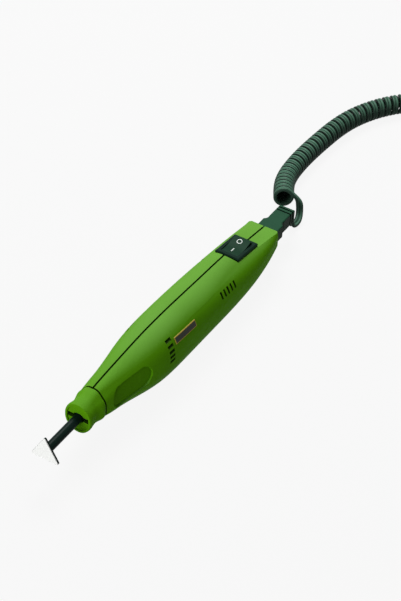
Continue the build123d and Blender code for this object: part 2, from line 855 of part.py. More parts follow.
with BuildPart() as brush_springs:
    spring_front = brush_station - brush_width / 2
    spring_rear = can_rear - cap_lip
    for side in (1, -1):
        spring_across = side * (brush_inner + brush_length + brush_spring / 2)
        with Locations(place((spring_front + spring_rear) / 2, spring_across, 0)):
            Box(spring_rear - spring_front, brush_spring, brush_width)
brush_springs.part.label = "brush_springs"

with BuildPart() as motor_terminals:
    for side in (1, -1):
        with Locations(place(cap_rear + tab_length / 2, side * tab_offset, 0)):
            Box(tab_length, tab_thickness, tab_width)
motor_terminals.part.label = "motor_terminals"

with BuildPart() as suppressor:
    with Locations(Location(place(cap_rear, 0, suppressor_level), (0, 90, 0))):
        Cylinder(
            suppressor_radius,
            suppressor_width,
            align=(Align.CENTER, Align.CENTER, Align.MIN),
        )
suppressor.part.label = "suppressor"

with BuildPart() as motor_mounts:
    for station in mount_stations:
        rod(station - mount_width / 2, station + mount_width / 2, mount_radius)
        rod(station - mount_width, station + mount_width, can_radius + press_play, mode=Mode.SUBTRACT)
motor_mounts.part.label = "motor_mounts"


def tube_radii(points):
    """The largest tangent arc that each corner of a route takes."""
    radii = []
    for before, corner, after in zip(points, points[1:], points[2:]):
        into = Vector(*corner) - Vector(*before)
        out = Vector(*after) - Vector(*corner)
        turn = into.get_angle(out)
        radii.append(0.45 * min(into.length, out.length) / math.tan(math.radians(turn / 2)))
    return radii


def tube_along(points, radius):
    """A round tube on straight runs joined by tangent arcs."""
    with BuildPart() as made:
        with BuildLine() as path:
            FilletPolyline(*points, radius=tube_radii(points))
        start = Vector(*points[0])
        ahead = Vector(*points[1]) - start
        with BuildSketch(Plane(origin=start, z_dir=ahead)):
            Circle(radius)
        sweep(path=path.line)
    return made.part


# Wires: each ends square on a terminal, on the anchor's inner face or on a motor tab
blade_foot = -case_depth - blade_drop
wire_drop = 3.4
wire_slack = 5.2


def under_blade(offset, across, drop):
    return tuple(switch_plane.from_local_coords(Vector(offset, across, blade_foot - drop)))


front_blade, rear_blade = blade_offsets
motor_wires = []
supply_wires = []
for side in (1, -1):
    tab_end = cap_rear + tab_length
    motor_route = [
        place(tab_end, side * tab_offset, 0),
        place(tab_end + wire_slack, side * tab_offset, 0),
        place(tab_end + 2 * wire_slack, side * (tab_offset - 1.2), -wire_slack),
        place(tab_end + 3.4 * wire_slack, side * wire_spread, -2.6 * wire_slack),
        under_blade(front_blade, side * wire_spread / 2, wire_drop),
        under_blade(front_blade, side * wire_spread / 2, 0),
    ]
    motor_wires.append(tube_along(motor_route, wire_radius))
    supply_route = [
        place(inner_front, side * wire_spread, anchor_level),
        place(inner_front - 1.6 * wire_slack, side * wire_spread, anchor_level),
        place(inner_front - 3.2 * wire_slack, side * wire_spread, anchor_level - wire_slack),
        under_blade(rear_blade, side * wire_spread / 2, wire_drop),
        under_blade(rear_blade, side * wire_spread / 2, 0),
    ]
    supply_wires.append(tube_along(supply_route, wire_radius))

with BuildPart() as motor_leads:
    add(motor_wires)
motor_leads.part.label = "motor_leads"

with BuildPart() as supply_leads:
    add(supply_wires)
supply_leads.part.label = "supply_leads"


def route_point(controls, share):
    """A point on the smooth line that a list of control points pulls to itself, by its share of the way."""
    spans = len(controls) - 2
    knots = [0, 0] + list(range(spans + 1)) + [spans, spans]
    reach = min(share, 0.999999) * spans
    span = int(reach) + 2
    points = [Vector(*controls[span - 2 + step]) for step in range(3)]
    for level in (1, 2):
        for step in range(2, level - 1, -1):
            low = knots[span - 2 + step]
            high = knots[span + 1 + step - level]
            weight = (reach - low) / (high - low)
            points[step] = points[step - 1] * (1 - weight) + points[step] * weight
    return points[2]


# Axis of the curls: the route's points by equal steps of length
axis_samples = 1200
axis_controls = [(along(station), across, curl_height + lift) for station, across, lift in curl_route]
axis_points = [route_point(axis_controls, number / axis_samples) for number in range(axis_samples + 1)]
axis_lengths = [0.0]
for before, after in zip(axis_points, axis_points[1:]):
    axis_lengths.append(axis_lengths[-1] + (after - before).length)
curl_turns = math.floor(axis_lengths[-1] / curl_pitch) + curl_start_turn - curl_end_turn
curl_steps = round(arcs_per_turn * curl_turns)


def curl_point(share):
    """A point of the helix round the axis of the curls, by its share of the turns, which open along the way."""
    wanted = (share * (1 - curl_opening) + share**2 * curl_opening) * axis_lengths[-1]
    number = min(sum(1 for length in axis_lengths if length < wanted), axis_samples)
    number = max(number, 1)
    before, after = axis_points[number - 1], axis_points[number]
    part_way = (wanted - axis_lengths[number - 1]) / (axis_lengths[number] - axis_lengths[number - 1])
    centre = before + (after - before) * part_way
    ahead = (after - before).normalized()
    left = Vector(-ahead.Y, ahead.X, 0).normalized()
    above = ahead.cross(left)
    angle = 2 * math.pi * (curl_start_turn - share * curl_turns)
    return centre + left * (curl_radius * math.cos(angle)) + above * (curl_radius * math.sin(angle))


def curl_heading(share):
    """The direction of the helix at a share of the turns."""
    step = 0.25 / (curl_steps * 8)
    return (curl_point(min(share + step, 1)) - curl_point(max(share - step, 0))).normalized()


def arc_middle(start, corner, end):
    """The middle of the arc that leaves its start for the corner and arrives from there."""
    chord_middle = (start + end) * 0.5
    half_chord = (end - start).length / 2
    lift = (corner - chord_middle).length
    bend = math.atan2(lift, half_chord)
    if lift < 1e-6:
        return chord_middle
    return chord_middle + (corner - chord_middle) * (half_chord * math.tan(bend / 2) / lift)


def joined_arcs(start, heading, end, end_heading):
    """Two tangent arcs between two points with given directions, as start, middle and end of each."""
    span = end - start
    both = heading + end_heading
    square = 4 - both.dot(both)
    across = span.dot(both)
    reach = (math.sqrt(across * across + square * span.dot(span)) - across) / square
    first_corner = start + heading * reach
    second_corner = end - end_heading * reach
    joint = (first_corner + second_corner) * 0.5
    first = (start, arc_middle(start, first_corner, joint), joint)
    second = (joint, arc_middle(joint, second_corner, end), end)
    return [first, second]


# Helix of the curls on pairs of tangent arcs, each pair about a half turn, with a straight stub at each end
stub = 2 * cord_radius
curl_start = curl_point(0)
curl_end = curl_point(1)
start_heading = curl_heading(0)
end_heading = curl_heading(1)
lead_end = curl_start - start_heading * stub
tail_start = curl_end + end_heading * stub
with BuildPart() as curly_cord:
    with BuildLine() as helix:
        Line(lead_end, curl_start)
        for number in range(curl_steps):
            share, next_share = number / curl_steps, (number + 1) / curl_steps
            pair = joined_arcs(
                curl_point(share), curl_heading(share), curl_point(next_share), curl_heading(next_share)
            )
            for arc in pair:
                ThreePointArc(*arc)
        Line(curl_end, tail_start)
    with BuildSketch(Plane(origin=lead_end, z_dir=start_heading)):
        Circle(cord_radius)
    sweep(path=helix.line)
curly_cord.part.label = "curly_cord"

# Least gap of the curls to themselves: points a full turn or about a turn apart
gap_samples = 24
gap_count = round(gap_samples * curl_turns)
gap_points = [curl_point(number / gap_count) for number in range(gap_count + 1)]
least_gap = min(
    (gap_points[first] - gap_points[second]).length
    for first in range(len(gap_points))
    for second in range(first + gap_samples // 2, min(first + 2 * gap_samples, len(gap_points)))
)
print("curls", curl_turns, "axis", round(axis_lengths[-1], 1), "least gap", round(least_gap - 2 * cord_radius, 2))
helix_length = sum(edge.length for edge in helix.edges())
helix_volume = math.pi * cord_radius**2 * helix_length
print("curl volume ratio", round(curly_cord.part.volume / helix_volume, 4))

# Free stretches: the lead from the anchor to the curls, the tail from the curls to the plug
lead_route = [(along(station), across, height) for station, across, height in lead_points]
lead_run = 6.0
lead_route += [tuple(lead_end - start_heading * lead_run), tuple(lead_end)]
with BuildPart() as cord_lead:
    add(tube_along(lead_route, cord_radius))
cord_lead.part.label = "cord_lead"

tail_route = [tuple(tail_start), tuple(tail_start + end_heading * lead_run)]
for back, across, height in tail_offsets:
    tail_route.append((tail_start.X + back, tail_start.Y + across, height))
with BuildPart() as cord_tail:
    add(tube_along(tail_route, cord_radius))
cord_tail.part.label = "cord_tail"
for name, route, stretch in (("lead", lead_route, cord_lead), ("tail", tail_route, cord_tail)):
    runs = [(Vector(*after) - Vector(*before)).length for before, after in zip(route, route[1:])]
    with BuildLine() as stretch_line:
        FilletPolyline(*route, radius=tube_radii(route))
    stretch_length = sum(edge.length for edge in stretch_line.edges())
    print(name, "runs", [round(run, 1) for run in runs], "radii", [round(turn, 1) for turn in tube_radii(route)])
    print(name, "length", round(stretch_length, 1), "volume ratio",
          round(stretch.part.volume / (math.pi * cord_radius**2 * stretch_length), 4))

# Plug: a neck on the cord, a body that lies on the surface, a hollow metal contact
plug_start = Vector(*tail_route[-1])
plug_heading = (plug_start - Vector(*tail_route[-2])).normalized()
plug_plane = Plane(origin=plug_start, x_dir=(plug_heading.Y, -plug_heading.X, 0), z_dir=plug_heading)
with BuildPart() as supply_plug:
    with BuildSketch(plug_plane):
        Circle(plug_neck_width / 2 - cord_radius / 4)
    with BuildSketch(plug_plane.offset(plug_neck_length)):
        Circle(plug_height / 2)
    loft()
    with BuildSketch(plug_plane.offset(plug_neck_length)):
        RectangleRounded(plug_width, plug_height, plug_height / 2 - plug_edge)
    extrude(amount=plug_length - plug_neck_length)
supply_plug.part.label = "supply_plug"

with BuildPart() as plug_contact:
    with BuildSketch(plug_plane.offset(plug_length)):
        Circle(contact_radius)
        Circle(contact_bore, mode=Mode.SUBTRACT)
    extrude(amount=contact_length)
plug_contact.part.label = "plug_contact"

contact_place = plug_start + plug_heading * (plug_length + contact_length / 2)
print("rocker pivot", rocker_plane.origin)
print("contact middle", contact_place, "heading", plug_heading)
print("swing", round(swing_angle, 4))

made_parts = [
    housing_left,
    housing_right,
    housing_screws,
    nose_collar,
    label_plate,
    switch_frame,
    switch_rocker,
    switch_terminals,
    cord_anchor,
    sanding_holder,
    holder_cross_pin,
    abrasive_pad,
    drive_lever,
    lever_bush,
    lever_pivot_pin,
    socket_buffer,
    rotor_shaft,
    eccentric_hub,
    eccentric_bearing,
    cooling_fan,
    armature_core,
    armature_windings,
    commutator,
    motor_can,
    field_magnets,
    motor_end_cap,
    motor_bushes,
    carbon_brushes,
    brush_springs,
    motor_terminals,
    suppressor,
    motor_mounts,
    motor_leads,
    supply_leads,
    curly_cord,
    cord_lead,
    cord_tail,
    supply_plug,
    plug_contact,
]
os.makedirs("parts", exist_ok=True)
for made in made_parts:
    export_step(made.part, f"parts/{made.part.label}.step")
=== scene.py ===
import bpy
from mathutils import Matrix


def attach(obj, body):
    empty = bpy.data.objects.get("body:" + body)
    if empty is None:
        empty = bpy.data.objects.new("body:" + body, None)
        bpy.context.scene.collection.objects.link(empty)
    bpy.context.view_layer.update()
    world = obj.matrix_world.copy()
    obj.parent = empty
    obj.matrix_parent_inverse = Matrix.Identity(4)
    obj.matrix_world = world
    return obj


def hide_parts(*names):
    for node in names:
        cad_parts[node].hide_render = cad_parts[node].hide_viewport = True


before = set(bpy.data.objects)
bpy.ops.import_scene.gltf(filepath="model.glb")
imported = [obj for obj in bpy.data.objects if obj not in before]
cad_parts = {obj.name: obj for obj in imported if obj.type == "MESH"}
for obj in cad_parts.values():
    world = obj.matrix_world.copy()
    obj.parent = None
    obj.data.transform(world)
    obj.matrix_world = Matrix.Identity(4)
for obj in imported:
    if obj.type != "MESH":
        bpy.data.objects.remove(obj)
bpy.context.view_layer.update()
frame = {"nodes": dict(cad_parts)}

import math

import bmesh
import bpy
import numpy as np
from bpy.props import FloatProperty, FloatVectorProperty, IntProperty, PointerProperty
from mathutils import Matrix, Vector

bl_info = {
    "name": "Pen sander finish",
    "version": (1, 0, 0),
    "blender": (4, 5, 0),
    "location": "View3D > Sidebar > Pen sander",
    "description": "Dresses the packed pen sander: plastics, metals, curly cord, switch marks, studio",
    "category": "Object",
}

MM = 0.001
MIDDLE_STATION = 98.75
AXIS_HEIGHT = 23.5 * MM


def along(station):
    """X of a station, which is a distance in millimetres behind the front of the nose lip."""
    return (station - MIDDLE_STATION) * MM


# Sizes and colours that a user would change


def size_setting(name, description, size):
    """A length, given in millimetres."""
    return FloatProperty(name=name, description=description, default=size * MM, unit="LENGTH")


def colour_setting(name, description, colour):
    """A colour of a finish."""
    return FloatVectorProperty(name=name, description=description, default=colour, subtype="COLOR")


class PenSanderSizes(bpy.types.PropertyGroup):
    """Sizes of the pieces that are made here."""

    strand: size_setting("Strand", "Radius of each of the cord's two strands", 1.12)
    strand_step: size_setting("Strand step", "Half the distance between the strands", 1.20)
    curl: size_setting("Curl", "Radius of the curls at the cord's middle", 5.6)
    curl_height: size_setting("Curl height", "Height of the curls' axis over the floor", 7.1)
    mark_lift: size_setting("Mark lift", "How far the switch marks stand proud", 0.06)
    curl_steps: IntProperty(name="Curl steps", description="Stations of the cord in each curl", default=40)


class PenSanderColours(bpy.types.PropertyGroup):
    """Colours of the finishes."""

    housing: colour_setting("Housing", "Moulded green housing", (0.088, 0.285, 0.003))
    dark: colour_setting("Dark plastic", "Rocker, cord anchor and plug", (0.0145, 0.054, 0.029))
    frame: colour_setting("Switch frame", "Frame round the rocker", (0.006, 0.018, 0.012))
    cord: colour_setting("Cord", "Jacket of the cord", (0.067, 0.158, 0.105))
    holder: colour_setting("Holder", "Shaft and plate of the holder", (0.004, 0.012, 0.009))
    grit: colour_setting("Grit", "Pale abrasive face", (0.96, 0.97, 0.95))
    mark: colour_setting("Marks", "Printed marks of the switch", (0.78, 0.84, 0.80))
    gilt: colour_setting("Gilt", "Border of the label plate", (0.38, 0.285, 0.04))


class PenSanderStage(bpy.types.PropertyGroup):
    """Camera and light."""

    lens: FloatProperty(name="Lens", description="Focal length in millimetres", default=105.68)
    key: FloatProperty(name="Key light", description="Watts of the softbox overhead", default=9.8)
    fill: FloatProperty(name="Fill light", description="Strength of the light from all round", default=0.20)


# Finishes


class Socket:
    """A node's output that takes part in arithmetic, each operation adding a Math node."""

    def __init__(self, finish, output):
        self.finish = finish
        self.output = output

    def reckon(self, operation, first, second):
        return self.finish.node("ShaderNodeMath", {"operation": operation}, {0: first, 1: second})

    def __add__(self, other):
        return self.reckon("ADD", self, other)

    def __radd__(self, other):
        return self.reckon("ADD", other, self)

    def __sub__(self, other):
        return self.reckon("SUBTRACT", self, other)

    def __rsub__(self, other):
        return self.reckon("SUBTRACT", other, self)

    def __mul__(self, other):
        return self.reckon("MULTIPLY", self, other)

    def __pow__(self, other):
        return self.reckon("POWER", self, other)

    def __lt__(self, other):
        return self.reckon("LESS_THAN", self, other)

    def __gt__(self, other):
        return self.reckon("GREATER_THAN", self, other)

    def __abs__(self):
        return self.reckon("ABSOLUTE", self, 0.0)

    def greatest(self, other):
        return self.reckon("MAXIMUM", self, other)

    def least(self, other):
        return self.reckon("MINIMUM", self, other)


class Finish:
    """The nodes of a material, or of the world, built one by one round one surface shader."""

    def __init__(self, owner, shader="ShaderNodeBsdfPrincipled", sink="ShaderNodeOutputMaterial"):
        self.owner = owner
        owner.use_nodes = True
        self.tree = owner.node_tree
        self.tree.nodes.clear()
        end = self.tree.nodes.new(sink)
        self.surface = self.tree.nodes.new(shader)
        self.tree.links.new(self.surface.outputs[0], end.inputs["Surface"])

    def put(self, socket, value):
        """Links a value that varies, or sets a plain one."""
        if isinstance(value, Socket):
            self.tree.links.new(value.output, socket)
        elif isinstance(value, tuple) and len(value) == 3 and len(socket.default_value) == 4:
            socket.default_value = (*value, 1.0)
        else:
            socket.default_value = value

    def node(self, kind, settings=None, inputs=None, output=0):
        """Adds a node, sets it up, feeds its sockets and gives one of its outputs."""
        made = self.tree.nodes.new(kind)
        for name, value in (settings or {}).items():
            setattr(made, name, value)
        for name, value in (inputs or {}).items():
            self.put(made.inputs[name], value)
        return Socket(self, made.outputs[output])

    def shade(self, **inputs):
        """Feeds the surface shader, where underscores in a name stand for spaces, and gives its owner."""
        for name, value in inputs.items():
            self.put(self.surface.inputs[name.replace("_", " ")], value)
        return self.owner

    def place(self):
        """Object coordinates."""
        return self.node("ShaderNodeTexCoord", output="Object")

    def axes(self):
        """The three object coordinates, each a value in metres."""
        split = self.node("ShaderNodeSeparateXYZ", {}, {0: self.place()})
        return [Socket(self, output) for output in split.output.node.outputs]

    def facing(self, axis):
        """How far the surface faces along an axis of the object, from -1 to 1."""
        normal = self.node("ShaderNodeTexCoord", output="Normal")
        return self.node("ShaderNodeSeparateXYZ", {}, {0: normal}, output=axis)

    def noise(self, scale, detail=3.0, place=None):
        """Soft noise of a scale, which is the count of its clouds in a metre."""
        inputs = {"Vector": place or self.place(), "Scale": scale, "Detail": detail}
        return self.node("ShaderNodeTexNoise", {}, inputs)

    def streaks(self, stretch, detail=3.0, place=None):
        """Noise that is drawn out: its scale on each axis."""
        inputs = {"Vector": place or self.place(), "Scale": stretch}
        return self.noise(1.0, detail, self.node("ShaderNodeMapping", {}, inputs))

    def blend(self, share, first, second):
        """A colour between two, by a share."""
        settings = {"data_type": "RGBA"}
        return self.node("ShaderNodeMix", settings, {0: share, 6: first, 7: second}, output=2)

    def soft_step(self, value, low, high):
        """0 below the low value, 1 above the high one, smooth between."""
        settings = {"interpolation_type": "SMOOTHSTEP"}
        return self.node("ShaderNodeMapRange", settings, {0: value, 1: low, 2: high})

    def bump(self, height, strength, distance):
        """A normal that follows small heights."""
        inputs = {"Height": height, "Strength": strength, "Distance": distance}
        return self.node("ShaderNodeBump", {}, inputs)


def new_finish(name):
    """The nodes of a new material."""
    return Finish(bpy.data.materials.new(name))


def toned(colour, factor):
    """A colour made lighter or darker."""
    return tuple(min(channel * factor, 1.0) for channel in colour)


# Where the housing is painted dark as shade: half the seam, the joint behind the collar as its two
# stations, the cross slot in the nose as first and last station, half width and half height, and a box
# round each group of vents as first and last station, lowest and highest level
SEAM_HALF = 0.56 * MM
JOINT = (14.03, 15.03)
CROSS_SLOT = (1.0, 3.0, 6.95, 1.65)
VENT_BOXES = [(68.4, 73.6, -4.4, 11.2), (125.0, 141.4, 0.8, 7.2)]
# A face round the vents that looks out across the tool by less than this is a wall of a vent
OUTWARD = 0.6


def between(value, low, high):
    """1 where a value lies between two others, else 0."""
    return (value > low) * (value < high)


def painted_shade(finish, x, y, z):
    """1 where shade is painted: in the seam, the joint and the cross slot and on the walls of the vents,
    else 0.
    """
    level = z - AXIS_HEIGHT
    seam = (abs(y) < SEAM_HALF) * (x > along(JOINT[1]))
    joint = between(x, along(JOINT[0]), along(JOINT[1]))
    first, last, half_wide, half_high = CROSS_SLOT
    slot = between(x, along(first), along(last)) * (abs(y) < half_wide * MM) * (abs(level) < half_high * MM)
    dark = seam.greatest(joint).greatest(slot)
    wall = finish.facing("Y") * y < abs(y) * OUTWARD
    for first, last, low, high in VENT_BOXES:
        box = between(x, along(first), along(last)) * between(level, low * MM, high * MM)
        dark = dark.greatest(box * wall)
    return dark


# Finger recesses: their middle as station and level, half the straight stretch, and the two distances
# from the middle line between which the rougher floor, painted darker as shade, ends
RECESS_STATION, RECESS_LEVEL = 36.8, 0.6
RECESS_STRAIGHT = 9.5 * MM
RECESS_FLOOR = (5.8 * MM, 6.8 * MM)
# Painted sheen, a pale film on what faces up: how far up a face looks where it begins and where it is
# full, the stations between which it grows, its colour, and how much of it shows
SHEEN_FACING = (0.50, 0.98)
SHEEN_STATIONS = (0.0, 75.0)
SHEEN_COLOUR = (0.92, 0.95, 0.88)
SHEEN_SHOWN = 0.042


def housing_finish(colour):
    """Green moulded plastic: a fine eroded grain, faint flow clouds, rougher recess floors painted dark as
    shade.

    The seam's groove, the joint behind the collar, the cross slot and the walls of the vents are painted
    dark as shade, and a painted sheen makes what faces up paler.
    """
    finish = new_finish("housing_plastic")
    x, y, z = finish.axes()
    grain = finish.noise(2600.0, detail=2.0)
    cloud = finish.noise(38.0)
    fleck = finish.noise(900.0, detail=1.0)
    reach = (abs(x - along(RECESS_STATION)) - RECESS_STRAIGHT).greatest(0.0)
    level = z - AXIS_HEIGHT - RECESS_LEVEL * MM
    away = (reach * reach + level * level) ** 0.5
    floor = 1.0 - finish.soft_step(away, *RECESS_FLOOR)
    tone = finish.blend(cloud, toned(colour, 0.93), toned(colour, 1.06))
    tone = finish.blend(fleck * 0.25, tone, toned(colour, 1.12))
    # painted shade: the floors of the finger recesses are darker
    tone = finish.blend(floor * 0.45, tone, toned(colour, 0.62))
    # painted sheen: what faces up is made paler, more so towards the rear
    toward_rear = finish.soft_step(x, *map(along, SHEEN_STATIONS))
    painted_sheen = finish.soft_step(finish.facing("Z"), *SHEEN_FACING) * (0.2 + toward_rear * 0.6 + cloud * 0.4)
    tone = finish.blend(painted_sheen * SHEEN_SHOWN, tone, SHEEN_COLOUR)
    # painted shade: the seam, the joint, the cross slot and the vent walls are darkened
    tone = finish.blend(painted_shade(finish, x, y, z) * 0.8, tone, toned(colour, 0.06))
    return finish.shade(
        Base_Color=tone,
        Roughness=0.44 + cloud * 0.08 + floor * 0.1,
        Normal=finish.bump(grain * (1.0 + floor), strength=0.22, distance=0.05 * MM),
        Specular_IOR_Level=0.008,
    )


def dark_finish(name, colour, rough, grain_size):
    """Dark moulded plastic: fine grain, clouds of tone, painted light facing up, painted shade facing down.
    """
    finish = new_finish(name)
    grain = finish.noise(1.0 / grain_size, detail=2.0)
    cloud = finish.noise(60.0)
    bloom = finish.blend(cloud, toned(colour, 0.75), toned(colour, 1.45))
    bloom = finish.blend(grain * 0.3, bloom, toned(colour, 1.9))
    # painted light and shade: what faces up gets the clouded tone, what faces down is painted dark
    painted_top_light = finish.soft_step(finish.facing("Z"), low=0.0, high=0.6)
    return finish.shade(
        Base_Color=finish.blend(painted_top_light, toned(colour, 0.35), bloom),
        Roughness=rough + cloud * 0.12,
        Normal=finish.bump(grain, strength=0.25, distance=0.04 * MM),
        Specular_IOR_Level=0.018,
    )


# The way round the cord, from 0 to 1: the outer valley between the strands, and from it to each ridge, to
# the soft edge of the painted highlight and to the end of the painted shade in the valley
VALLEY = 0.482
RIDGE = 0.118
HIGHLIGHT_EDGE = (RIDGE - 0.01, RIDGE + 0.06)
VALLEY_END = 0.07
# Stretches in millimetres along the cord: where the lead ends, where the first curl ends, and where the
# painted highlights fade
LEAD_PAST = (42.0, 50.0)
FIRST_CURL_PAST = (76.0, 84.0)
FADING = (350.0, 900.0)
# How far up a face of the cord looks where the painted light from above begins and where it is full
TOP_LIGHT_FACING = (0.2, 0.95)


def cord_finish(colour):
    """Soft jacket: painted highlights on the outer side of its strands, painted shade in valleys and edges.

    The cord's own UV map gives the way along and round it. The painted shade is lighter on the lead and the
    first curl, and the lead has its painted highlight on both sides. Painted light from above makes what
    faces up paler, less so towards the far end, and fine drawn lines run along the cord.
    """
    finish = new_finish("cord_jacket")
    wrap = finish.node("ShaderNodeUVMap", {"uv_map": "cord"})
    way = finish.node("ShaderNodeSeparateXYZ", {}, {0: wrap}, output="X")
    around = finish.node("ShaderNodeSeparateXYZ", {}, {0: wrap}, output="Y")
    # painted shade: the dark tone of the valleys and edges, lighter on the lead and the first curl
    painted_shade_tone = finish.blend(finish.soft_step(way, *FIRST_CURL_PAST), toned(colour, 0.33), toned(colour, 0.12))
    lead = 1.0 - finish.soft_step(way, *LEAD_PAST)
    from_outer = abs(around - VALLEY)
    from_nearer = from_outer.least(abs(0.5 - from_outer))
    from_valley = from_outer + lead * (from_nearer - from_outer)
    # painted highlight along the outer ridges of the strands
    painted_highlight = 1.0 - finish.soft_step(from_valley, *HIGHLIGHT_EDGE)
    painted_highlight = painted_highlight * (0.12 + finish.soft_step(from_valley, low=0.0, high=VALLEY_END) * 0.88)
    # painted light from above: paler on what faces up
    painted_light_from_above = 0.18 + finish.soft_step(finish.facing("Z"), *TOP_LIGHT_FACING) * 0.82
    painted_light_from_above = painted_light_from_above * (1.0 - finish.soft_step(way, *FADING) * 0.25)
    lines = finish.streaks((0.6, 60.0, 1.0), detail=2.0, place=wrap)
    cloud = finish.noise(120.0)
    bloom = finish.blend(cloud, toned(colour, 0.84), toned(colour, 1.24))
    return finish.shade(
        Base_Color=finish.blend(painted_highlight * painted_light_from_above, painted_shade_tone, bloom),
        Roughness=0.24 + cloud * 0.12,
        Normal=finish.bump(lines, strength=0.15, distance=0.05 * MM),
        Specular_IOR_Level=0.06,
    )


def holder_finish(colour):
    """Black shaft with drawn streaks along it."""
    finish = new_finish("holder_plastic")
    streaks = finish.streaks((60.0, 1500.0, 1500.0))
    cloud = finish.noise(80.0, detail=2.0)
    return finish.shade(
        Base_Color=finish.blend(streaks, toned(colour, 0.7), toned(colour, 2.0)),
        Roughness=0.26 + cloud * 0.14,
        Normal=finish.bump(streaks, strength=0.2, distance=0.05 * MM),
        Specular_IOR_Level=0.03,
    )


def grit_finish(colour):
    """Pale abrasive: packed grains, and faint grey streaks across the face."""
    finish = new_finish("abrasive")
    packing = {"Vector": finish.place(), "Scale": 4200.0}
    grains = finish.node("ShaderNodeTexVoronoi", {"feature": "F1"}, packing)
    streaks = finish.streaks((40.0, 2600.0, 260.0))
    cloud = finish.noise(300.0)
    grey = finish.soft_step(streaks, low=0.5, high=0.8)
    tone = finish.blend(grey * 0.3, colour, toned(colour, 0.7))
    tone = finish.blend(cloud * 0.2, tone, toned(colour, 0.86))
    return finish.shade(
        Base_Color=tone,
        Roughness=0.75 + grains * 0.2,
        Normal=finish.bump(grains, strength=0.5, distance=0.08 * MM),
        Specular_IOR_Level=0.3,
    )


# Label plate: its middle as station and level, half its length and height, its slope, the width of its
# border, and the two colours of its brushed field
LABEL_STATION, LABEL_LEVEL = 86.0, 6.5
LABEL_HALF = (10.4 * MM, 1.9 * MM)
LABEL_SLOPE = math.radians(3.0)
LABEL_RIM = 0.36 * MM
LABEL_FIELD = ((0.022, 0.024, 0.018), (0.052, 0.055, 0.042))


def label_finish(gilt):
    """Printed plate: a gilt border and an empty dark field with a brushed sheen."""
    finish = new_finish("label")
    x, _, z = finish.axes()
    away = x - along(LABEL_STATION)
    rise = z - AXIS_HEIGHT - LABEL_LEVEL * MM
    cosine, sine = math.cos(LABEL_SLOPE), math.sin(LABEL_SLOPE)
    edge_long = LABEL_HALF[0] - abs(away * cosine - rise * sine)
    edge_high = LABEL_HALF[1] - abs(away * sine + rise * cosine)
    inside = finish.soft_step(edge_long.least(edge_high), LABEL_RIM * 0.8, LABEL_RIM * 1.2)
    brushed = finish.streaks((80.0, 2200.0, 2200.0), detail=2.0)
    field = finish.blend(brushed, *LABEL_FIELD)
    border = finish.blend(brushed, toned(gilt, 0.8), toned(gilt, 1.15))
    return finish.shade(
        Base_Color=finish.blend(inside, border, field),
        Metallic=inside * 0.1,
        Roughness=0.34 + brushed * 0.12,
        Normal=finish.bump(1.0 - inside, strength=0.1, distance=0.06 * MM),
        Specular_IOR_Level=0.07,
    )


def metal_finish(name, colour, rough, stretch):
    """Worked metal: tool lines by the stretch of its noise, and dulled clouds."""
    finish = new_finish(name)
    lines = finish.streaks(stretch)
    cloud = finish.noise(140.0)
    return finish.shade(
        Base_Color=finish.blend(cloud, toned(colour, 0.82), toned(colour, 1.08)),
        Metallic=1.0,
        Roughness=rough + lines * 0.15 + cloud * 0.08,
        Normal=finish.bump(lines, strength=0.2, distance=0.03 * MM),
    )


def plain_finish(name, colour, rough, grain_size):
    """Moulded, pressed or dipped matter: grain of a given size over faint clouds."""
    finish = new_finish(name)
    grain = finish.noise(1.0 / grain_size, detail=2.0)
    cloud = finish.noise(90.0)
    return finish.shade(
        Base_Color=finish.blend(cloud, toned(colour, 0.85), toned(colour, 1.12)),
        Roughness=rough + grain * 0.12,
        Normal=finish.bump(grain, strength=0.25, distance=0.05 * MM),
    )


# How fast the sine that draws the rounds of wire runs, in radians over a metre
WIRE_ROUNDS = 14000.0


def winding_finish(colour):
    """Lacquered wire: tight rounds of wire across the bundle, with painted shade in the grooves between
    them.
    """
    finish = new_finish("copper_wire")
    _, y, z = finish.axes()
    rounds = finish.node("ShaderNodeMath", {"operation": "SINE"}, {0: (y + z) * WIRE_ROUNDS})
    cloud = finish.noise(200.0, detail=2.0)
    # painted shade: the colour darkens in the grooves between the rounds
    return finish.shade(
        Base_Color=finish.blend(0.5 + rounds * 0.5, toned(colour, 0.55), colour),
        Metallic=0.8,
        Roughness=0.3 + cloud * 0.15,
        Normal=finish.bump(rounds, strength=0.5, distance=0.1 * MM),
    )


def mark_finish(colour):
    """Printed white, a little worn."""
    finish = new_finish("switch_marks")
    wear = finish.noise(1600.0)
    worn = finish.soft_step(wear, low=0.55, high=0.8)
    return finish.shade(
        Base_Color=finish.blend(worn, colour, toned(colour, 0.7)),
        Roughness=0.45 + wear * 0.15,
    )


def dress(finish, *names):
    """Gives a finish to CAD nodes."""
    for name in names:
        mesh = frame["nodes"][name].data
        mesh.materials.clear()
        mesh.materials.append(finish)


# Surfaces


